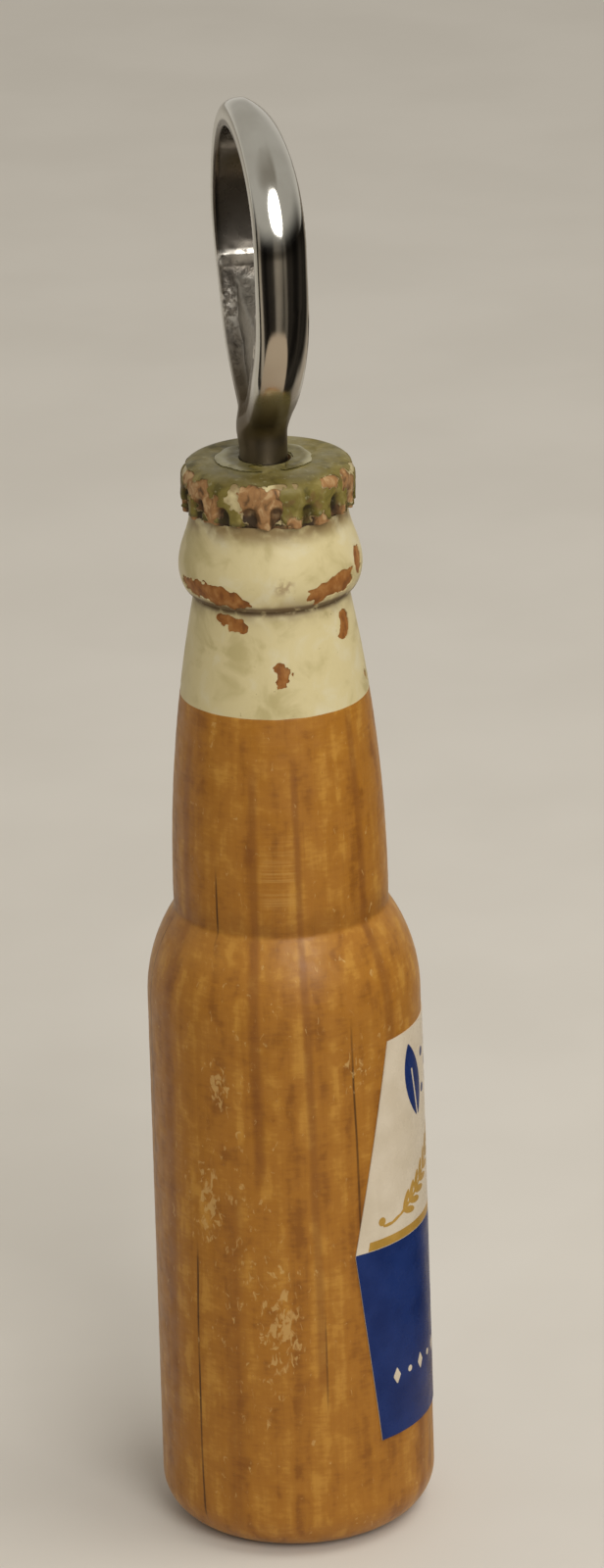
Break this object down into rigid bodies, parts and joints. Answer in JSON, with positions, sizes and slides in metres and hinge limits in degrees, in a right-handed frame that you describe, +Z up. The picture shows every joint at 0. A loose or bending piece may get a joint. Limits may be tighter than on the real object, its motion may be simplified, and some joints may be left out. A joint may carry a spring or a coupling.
{
  "type": "bottle opener",
  "caption": "Souvenir bottle opener: turned wooden bottle-shaped handle that stands on its foot, with a cast metal opener loop glued into its carved crown top.",
  "frame": {"origin": "centre of the flat foot that the opener stands on", "axes": "+Z up along the turned handle; the label faces -Y; the opener loop lies in the XZ plane"},
  "size_m": [0.0444, 0.0445, 0.2358],
  "materials": {
    "varnished_wood": "honey-brown glossy varnish over turned wood, worn and scratched",
    "cream_paint": "cream satin paint, chipped to the wood at the bead and groove",
    "olive_paint": "olive-grey satin paint over a cream undercoat, chipped to the wood on the teeth and edge",
    "chrome_head": "polished plated casting, slightly tarnished inside the loop",
    "glue": "dull yellowish hardened glue",
    "label_foil": null
  },
  "bodies": {
    "root": {"handle_body": "varnished_wood", "neck_paint": "cream_paint", "cap_paint": "olive_paint", "opener_head": "chrome_head", "tang_glue": "glue", "front_label": "label_foil"}
  },
  "joints": []
}
